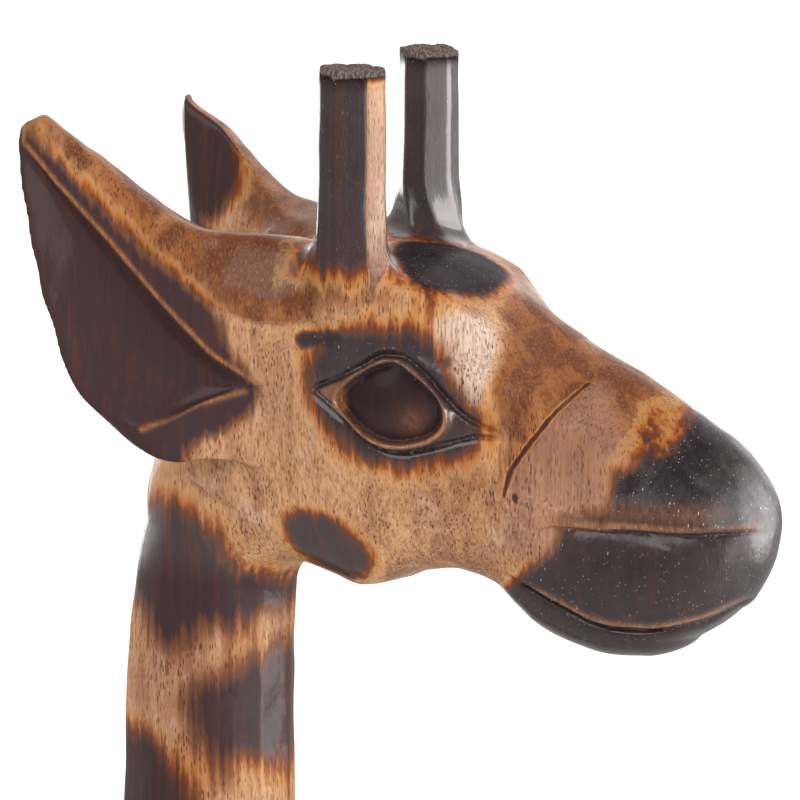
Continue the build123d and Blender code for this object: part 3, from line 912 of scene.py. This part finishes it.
def head_rose_and_shade(skin):
    """Where the bare wood is greyer, pinker and darker: the facet below the cheek's step, as painted shade
    with a painted reflection of the white surround, and the temple and the neck.
    """
    x, z = skin.x, skin.z
    # painted shade and painted reflection on the facet below the cheek's step
    facet = ease(0.0, 1.0, cheek_step(x, z)[0]) * ease(1, -5, z - 928 + 1.44 * (x - 197)) * ease(878, 888, z)
    facet = facet * (skin.wide > 9)
    temple = 0.45 * groove(np.hypot((x - 110) / 18, (z - 918) / 14), 1.0)
    neck = 0.5 * ease(900, 885, z) * ease(113, 96, x)
    return np.maximum.reduce([0.75 * facet, temple, neck])


def body_burn(skin, middles, node):
    """The burn and char amounts of the torso, a leg or the tail. Hooves and the tail's tuft are black."""
    z, burn = skin.z, coat_patches(skin, middles)
    char = np.full(len(z), 0.1)
    if node.endswith("leg"):
        hoof = z - 33 - 1.5 * np.sin(0.5 * skin.x + 0.4 * skin.y)
        burn = np.minimum(burn + 12 * ease(150, 60, z), hoof)
        char = np.maximum(char, 0.9 * ease(3, -3, hoof))
    if node == "tail":
        burn = np.minimum(burn + 6, z - TUFT_Z)
        char = np.maximum(char, 0.8 * ease(3, -3, z - TUFT_Z))
    return burn, char


def paint(pieces):
    skins = {node: Skin(obj) for node, obj in pieces.items()}
    middles = patch_middles(np.vstack([skin.points[::7] for skin in skins.values()]))
    for node, skin in skins.items():
        if node == "head_and_neck":
            amounts = *head_burn(skin, middles), head_wear_and_highlight(skin), head_warmth(skin), head_rose_and_shade(skin)
        else:
            none, on_top = np.zeros(len(skin.z)), 0.5 * ease(0.2, 0.9, skin.normal[:, 2])
            amounts = *body_burn(skin, middles, node), none, none, on_top, none
        for name, values in zip(PAINTED, amounts):
            layer = pieces[node].data.attributes.new(name, "FLOAT", "POINT")
            layer.data.foreach_set("value", np.ascontiguousarray(values, dtype=np.float32))


# --- Materials ---
class Nodes:
    """Short ways to add and join shader nodes."""

    def __init__(self, block):
        block.use_nodes = True
        self.block, self.tree = block, block.node_tree
        self.tree.nodes.clear()
        self.places = self.add("TexCoord").outputs

    def add(self, kind, inputs=(), **settings):
        """A shader node; each input is a number, a colour, a vector or another node's socket."""
        node = self.tree.nodes.new("ShaderNode" + kind)
        for key, value in settings.items():
            setattr(node, key, value)
        for key, value in dict(inputs).items():
            if isinstance(value, bpy.types.NodeSocket):
                self.tree.links.new(value, node.inputs[key])
            else:
                node.inputs[key].default_value = value
        return node

    def math(self, operation, a, b=0.0, c=0.0):
        return self.add("Math", {0: a, 1: b, 2: c}, operation=operation).outputs[0]

    def times(self, a, b):
        return self.math("MULTIPLY", a, b)

    def raised(self, base, amount, by):
        """The base, plus the amount times by."""
        return self.math("MULTIPLY_ADD", amount, by, base)

    def ragged(self, value, noise, reach):
        """The value, moved up and down by a noise."""
        return self.raised(value, self.math("SUBTRACT", noise, 0.5), reach)

    def blend(self, amount, a, b):
        """From colour a to colour b."""
        a, b = ((*colour, 1) if isinstance(colour, tuple) else colour for colour in (a, b))
        return self.add("Mix", {0: amount, 6: a, 7: b}, data_type="RGBA").outputs[2]

    def fade(self, value, low, high, start=0.0, end=1.0):
        """start at low, end at high, smooth between them and flat past both."""
        inputs = {0: value, 1: low, 2: high, 3: start, 4: end}
        return self.add("MapRange", inputs, interpolation_type="SMOOTHSTEP").outputs[0]

    def ramp(self, value, stops):
        node = self.add("ValToRGB", {0: value})
        elements = node.color_ramp.elements
        while len(elements) < len(stops):
            elements.new(0.5)
        for element, (place, colour) in zip(elements, stops):
            element.position, element.color = place, (*colour, 1)
        return node.outputs[0]

    def stretched(self, stretch, start=0.0):
        """Places, scaled by a frequency along x, y and z per millimetre."""
        scale = [f / MM for f in stretch]
        return self.add("Mapping", {0: self.places["Object"], 1: (start, start, start), 3: scale}).outputs[0]

    def grain(self, stretch, detail=3.0, warp=0.0, start=0.0):
        """Noise of 0 to 1."""
        place = self.stretched(stretch, start)
        inputs = {"Vector": place, "Scale": 1.0, "Detail": detail, "Distortion": warp}
        return self.add("TexNoise", inputs).outputs[0]

    def cells(self, stretch):
        """Distance to scattered points and a random number for each of them."""
        node = self.add("TexVoronoi", {"Vector": self.stretched(stretch), "Scale": 1.0})
        chance = self.add("SeparateColor", {0: node.outputs["Color"]}).outputs[0]
        return node.outputs["Distance"], chance

    def pores(self, stretch, size):
        """1 in scattered open pores of uneven sizes."""
        gap, chance = self.cells(stretch)
        return self.fade(self.math("SUBTRACT", self.fade(chance, 0.3, 1.0, 0.0, size), gap), 0.0, 0.05)

    def attribute(self, name):
        return self.add("Attribute", attribute_name=name).outputs["Fac"]

    def bump(self, height, strength, depth):
        inputs = {"Strength": strength, "Distance": depth * MM, "Height": height}
        return self.add("Bump", inputs).outputs[0]

    def surface(self, inputs):
        self.add("OutputMaterial", {0: self.add("BsdfPrincipled", inputs).outputs[0]})
        return self.block


# Colours, as linear red, green and blue
PALE, PALE_DEEP, PALE_PINK = (0.64, 0.345, 0.165), (0.36, 0.165, 0.08), (0.66, 0.42, 0.30)
# ROSE: greyer, pinker and darker wood; on the cheek's facet it is painted shade and reflection
ROSE, PORE, BROWN = (0.36, 0.19, 0.13), (0.075, 0.030, 0.018), (0.12, 0.046, 0.026)
# paler wood: the horns' faces, pale from bleaching, and the painted highlight above the eye
BLEACH_AND_HIGHLIGHT = (0.72, 0.54, 0.43)
TOFFEE, TOFFEE_DEEP = (0.37, 0.13, 0.035), (0.15, 0.045, 0.015)
SCORCHED, SCORCHED_RED, CHARRED = (0.050, 0.027, 0.029), (0.120, 0.036, 0.016), (0.014, 0.009, 0.011)
# colour of edges that rubbing has bared, which also paints the highlight on the eyeball
RUBBED_AND_HIGHLIGHT = (0.42, 0.175, 0.070)
# SPECK_AND_GLINT: pale specks, partly dust and partly painted glints of the varnish
ASH, SPECK_AND_GLINT = (0.26, 0.205, 0.17), (0.6, 0.57, 0.58)
FRINGE = [  # from the inside of a scorched patch outwards
    (0, SCORCHED), (0.22, (0.065, 0.022, 0.014)), (0.36, (0.14, 0.030, 0.009)), (0.47, (0.32, 0.080, 0.014)),
    (0.60, (0.56, 0.22, 0.05)), (0.78, (0.74, 0.43, 0.18)), (1, (0.70, 0.40, 0.19)),
]
GRAINS = {  # frequency along x, y and z per millimetre, detail, warp and start
    "fibre": ((1.5, 1.5, 0.05), 4, 0, 0),
    "streak": ((0.55, 0.55, 0.022), 5, 0.3, 3),
    "band": ((0.10, 0.10, 0.012), 3, 1.2, 11),
    "mottle": ((0.16, 0.16, 0.10), 5, 0.6, 23),
    "blot": ((0.9, 0.9, 0.5), 3, 0, 31),
    "fine": ((1.9, 1.9, 0.7), 3, 0, 43),
}


def bare_wood(n):
    """Pale wood, toffee-coloured where it is warm, with upright grain and open pores."""
    pale = n.blend(n.fade(n.band, 0.35, 0.68), PALE, PALE_DEEP)
    pale = n.blend(n.fade(n.mottle, 0.56, 0.72, 0.0, 0.75), pale, PALE_PINK)
    # paler where warm is below zero: the horns' faces and the painted highlight above the eye
    pale = n.blend(n.times(n.math("MAXIMUM", n.times(n.warm, -1.0), 0.0), 0.8), pale, BLEACH_AND_HIGHLIGHT)
    deep = n.math("ADD", n.fade(n.mottle, 0.42, 0.64), n.fade(n.warm, 0.8, 1.6))
    toffee = n.blend(deep, TOFFEE, TOFFEE_DEEP)
    wood = n.blend(n.times(n.warm, n.fade(n.band, 0.2, 0.6, 0.65, 1.0)), pale, toffee)
    sparse = n.times(n.fade(n.fine, 0.46, 0.32, 0.0, 0.35), n.fade(n.warm, 0.2, 1.0, 1.0, 0.2))
    # the rose amount also paints shade and reflection on the facet below the cheek's step
    layers = (
        (n.times(n.rose, 0.85), ROSE), (n.fade(n.fibre, 0.42, 0.75, 0.0, 0.6), TOFFEE_DEEP),
        (n.fade(n.fine, 0.5, 0.68, 0.0, 0.5), PALE_DEEP), (sparse, PALE_PINK), (n.times(n.pore, 0.85), PORE),
    )
    for amount, colour in layers:
        wood = n.blend(amount, wood, colour)
    return wood


def charcoal(n):
    """The inside of a scorched patch: dark brown with red streaks, black where it is charred, then ash."""
    red = n.times(n.fade(n.streak, 0.42, 0.72, 0.0, 0.65), n.fade(n.dull, 0.0, 1.0, 1.0, 0.45))
    dark = n.blend(red, SCORCHED, SCORCHED_RED)
    dark = n.blend(n.times(n.char, n.fade(n.mottle, 0.3, 0.7, 1.0, 0.72)), dark, CHARRED)
    ash = n.times(n.fade(n.char, 1.0, ASHEN), n.fade(n.fine, 0.4, 0.62, 0.25, 0.85))
    return n.blend(ash, dark, ASH)


def toasted(n, reach, wood):
    """The fringe of a scorched patch: orange in places and a quieter brown in others."""
    orange = n.blend(n.fade(reach, 0.3, 0.6, 0.05, 0.3), n.ramp(reach, FRINGE), wood)
    brown = n.blend(n.fade(reach, 0.25, 0.8, 0.9, 0.0), wood, BROWN)
    places = n.grain((0.021, 0.021, 0.021), detail=1.0, start=57.0)
    places = n.raised(places, n.math("SUBTRACT", n.warm, n.rose), 0.12)
    fringe = n.blend(n.fade(places, 0.44, 0.6, 0.15, 1.0), brown, orange)
    return n.blend(n.times(n.pore, 0.7), fringe, SCORCHED_RED)


def wear_dust_and_highlights(n, colour, burnt):
    """Bare wood on edges that hands have bared of scorching, with a painted highlight on the eyeball, and
    pale specks on the blackest scorching, partly dust and partly painted glints of the varnish.
    """
    # bared edges, and the painted highlight on the eyeball
    rubbed_and_highlight = n.blend(n.fade(n.fibre, 0.4, 0.7, 0.0, 0.6), RUBBED_AND_HIGHLIGHT, TOFFEE_DEEP)
    colour = n.blend(n.times(n.worn, n.fade(n.blot, 0.25, 0.6, 0.55, 1.0)), colour, rubbed_and_highlight)
    # pale specks on the blackest scorching: partly dust, partly painted glints of the varnish
    dust_and_glint = n.math("MAXIMUM", n.pores((0.9, 0.9, 0.28), 0.15), n.pores((1.5, 1.5, 1.1), 0.19))
    dust_and_glint = n.times(n.times(dust_and_glint, burnt), n.fade(n.char, 0.4, 1.0, 0.04, 1.0))
    dust_and_glint = n.times(dust_and_glint, n.fade(n.dull, 0.843, 0.85, 1.0, 0.0))
    return n.blend(n.times(dust_and_glint, 0.8), colour, SPECK_AND_GLINT)


def varnish(n, burnt):
    """The gloss is strongest on the scorched wood, and follows a smoother relief than the wood does."""
    relief = n.raised(n.times(n.mottle, 0.9), n.fibre, 0.35)
    for noise, height in ((n.pore, -0.55), (n.blot, 0.25), (n.fine, 0.25)):
        relief = n.raised(relief, noise, height)
    rough = n.raised(n.fade(burnt, 0.0, 1.0, 0.46, 0.36), n.fade(n.mottle, 0.3, 0.7), 0.16)
    patchy = n.fade(n.mottle, 0.35, 0.65, 0.0, 0.22)
    coat_rough = n.raised(n.fade(n.blot, 0.3, 0.75, 0.08, 0.26), n.fade(n.char, 0.6, 1.0), patchy)
    gloss = n.times(n.fade(burnt, 0.0, 1.0, 0.28, 0.8), n.math("SUBTRACT", 1.0, n.dull))
    gloss = n.times(gloss, n.fade(n.char, 0.6, 1.0, 1.0, 0.75))
    return {
        "Roughness": n.math("MAXIMUM", rough, n.times(n.dull, 0.85)), "Normal": n.bump(relief, 0.55, 0.35),
        "Specular IOR Level": n.times(gloss, 0.3), "Coat Weight": gloss, "Coat Roughness": coat_rough,
        "Coat Normal": n.bump(n.raised(n.times(n.mottle, 0.7), n.blot, 0.5), 0.4, 0.25), "Coat IOR": 1.5,
    }


def carved_wood():
    """Varnished carved wood with scorched patches, which reads the six painted amounts."""
    n = Nodes(bpy.data.materials.new("carved_wood_varnished"))
    for name in PAINTED:
        setattr(n, name, n.attribute(name))
    for name, grain in GRAINS.items():
        setattr(n, name, n.grain(*grain))
    n.pore = n.math("MAXIMUM", n.pores((2.3, 2.3, 0.42), 0.45), n.times(n.pores((1.4, 1.4, 0.28), 0.33), 0.9))
    n.pore = n.times(n.pore, n.fade(n.band, 0.38, 0.55, 0.55, 1.0))

    edge = n.ragged(n.ragged(n.ragged(n.burn, n.streak, 11.0), n.mottle, 3.5), n.fibre, 2.5)
    reach = n.add("MapRange", {0: edge, 1: -5.0, 2: 8.0}).outputs[0]  # 0 inside a scorched patch, 1 outside
    burnt = n.fade(reach, 0.45, 0.2)
    wood = bare_wood(n)
    colour = n.blend(n.fade(reach, 0.50, 0.98), toasted(n, reach, wood), wood)
    colour = n.blend(n.fade(reach, 0.32, 0.08), colour, charcoal(n))
    return n.surface({"Base Color": wear_dust_and_highlights(n, colour, burnt), **varnish(n, burnt)})


def dowel_wood():
    """Plain pale dowel rod: straight fibres, short flecks and a sawn dullness."""
    n = Nodes(bpy.data.materials.new("dowel_wood_plain"))
    fibre = n.grain((2.2, 2.2, 0.06), detail=4.0)
    band = n.grain((0.35, 0.35, 0.02), detail=2.0, start=5.0)
    gap, chance = n.cells((1.3, 1.3, 0.22))
    fleck = n.times(n.fade(gap, 0.22, 0.1), n.fade(chance, 0.5, 0.6))
    colour = n.blend(n.fade(band, 0.35, 0.7), (0.62, 0.43, 0.26), (0.47, 0.29, 0.15))
    colour = n.blend(n.fade(fibre, 0.5, 0.8, 0.0, 0.5), colour, (0.33, 0.18, 0.08))
    colour = n.blend(n.times(fleck, 0.6), colour, (0.25, 0.12, 0.05))
    rough = n.fade(fibre, 0.3, 0.7, 0.55, 0.72)
    return n.surface(
        {"Base Color": colour, "Roughness": rough, "Normal": n.bump(n.raised(fibre, fleck, -0.4), 0.4, 0.2)}
    )


def dress(pieces):
    wood, rod = carved_wood(), dowel_wood()
    for obj in pieces.values():
        obj.data.materials.append(wood)
    for node in ("neck_dowels", "leg_dowels"):
        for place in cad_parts[node].material_slots:
            place.material = rod


# --- Camera and light ---
CAMERA_AZIMUTH, CAMERA_ELEVATION, CAMERA_DISTANCE = math.radians(22), math.radians(12), 0.8
LENS, SENSOR = 144, 36
LOOK_AT = (141.0, 0.0, 914.0)  # the middle of the head, in the statue's millimetres
FLOOR_SIZE = 30
FLOOR_GLOW = 0.4  # lifts the floor to plain white for the camera
FLOOR_SEEN, FLOOR_BOUNCE = 0.95, 0.5  # how pale the floor is to the camera, and to the light it throws back
SURROUND_FRONT, SURROUND_BACK = 0.22, 2.0
LIGHTS_AIM = (0.05, 0, 0.85)
LIGHTS = (  # name, place, size, power, seen only in the gloss
    ("key", (-0.5, -1.4, 1.9), 1.7, 23, False),
    ("right_panel", (1.98, -0.5, 0.9), 2.8, 52, False),
    ("sheen_panel", (2.0, 0.45, 1.0), 2.4, 105, True),
    ("left_panel", (-1.6, 1.1, 1.0), 1.2, 14, False),
)


def camera():
    azimuth, elevation = CAMERA_AZIMUTH, CAMERA_ELEVATION
    target = (np.array([HOOVES_X, 0, 0]) + LOOK_AT) * MM
    back = np.array([
        math.sin(azimuth) * math.cos(elevation), -math.cos(azimuth) * math.cos(elevation), math.sin(elevation)
    ])
    data = bpy.data.cameras.new("camera")
    data.lens, data.sensor_width = LENS, SENSOR
    data.clip_start, data.clip_end = 0.01, 50
    cam = bpy.data.objects.new("camera", data)
    cam.location = target + back * CAMERA_DISTANCE
    cam.rotation_euler = (math.pi / 2 - elevation, 0, azimuth)
    bpy.context.scene.collection.objects.link(cam)
    bpy.context.scene.camera = cam


def area_light(name, place, size, power, only_gloss):
    data = bpy.data.lights.new(name, "AREA")
    data.shape, data.size, data.energy = "DISK", size, power
    lamp = bpy.data.objects.new(name, data)
    lamp.visible_camera = False
    lamp.visible_diffuse = not only_gloss
    lamp.location = place
    aim = np.array(LIGHTS_AIM) - np.array(place)
    lamp.rotation_euler = Vector(aim).to_track_quat("-Z", "Y").to_euler()
    bpy.context.scene.collection.objects.link(lamp)


def surround():
    """A white surround, brighter behind the statue than in front of it, and plain white to the camera."""
    n = Nodes(bpy.data.worlds.new("world"))
    bpy.context.scene.world = n.block
    backwards = (-math.sin(CAMERA_AZIMUTH), math.cos(CAMERA_AZIMUTH), 0.0)
    inputs = {0: n.places["Generated"], 1: backwards}
    behind = n.add("VectorMath", inputs, operation="DOT_PRODUCT").outputs["Value"]
    bright = n.fade(behind, -0.1, 0.75, SURROUND_FRONT, SURROUND_BACK)
    seen = n.add("LightPath").outputs["Is Camera Ray"]
    strength = n.add("Mix", {0: seen, 2: bright, 3: 1.0}).outputs[0]
    background = n.add("Background", {"Color": (1, 1, 1, 1), "Strength": strength}).outputs[0]
    n.add("OutputWorld", {0: background})


def pale_floor():
    bpy.ops.mesh.primitive_plane_add(size=FLOOR_SIZE)
    sheet = bpy.context.object
    sheet.name = "floor"
    n = Nodes(bpy.data.materials.new("floor_paper"))
    tooth = n.grain((0.5, 0.5, 0.5), detail=4.0)
    seen = n.add("LightPath").outputs["Is Camera Ray"]
    shade = n.fade(seen, 0.0, 1.0, FLOOR_BOUNCE, FLOOR_SEEN)
    sheet.data.materials.append(n.surface({
        "Base Color": n.add("CombineColor", {0: shade, 1: shade, 2: shade}).outputs[0], "Roughness": 0.9,
        "Normal": n.bump(tooth, 0.1, 0.1), "Emission Color": (1, 1, 1, 1),
        "Emission Strength": n.fade(seen, 0.0, 1.0, 0.0, FLOOR_GLOW),
    }))


pieces = carve_all()
paint(pieces)
dress(pieces)
camera()
pale_floor()
surround()
for light in LIGHTS:
    area_light(*light)
bpy.context.scene.view_settings.view_transform = "Standard"
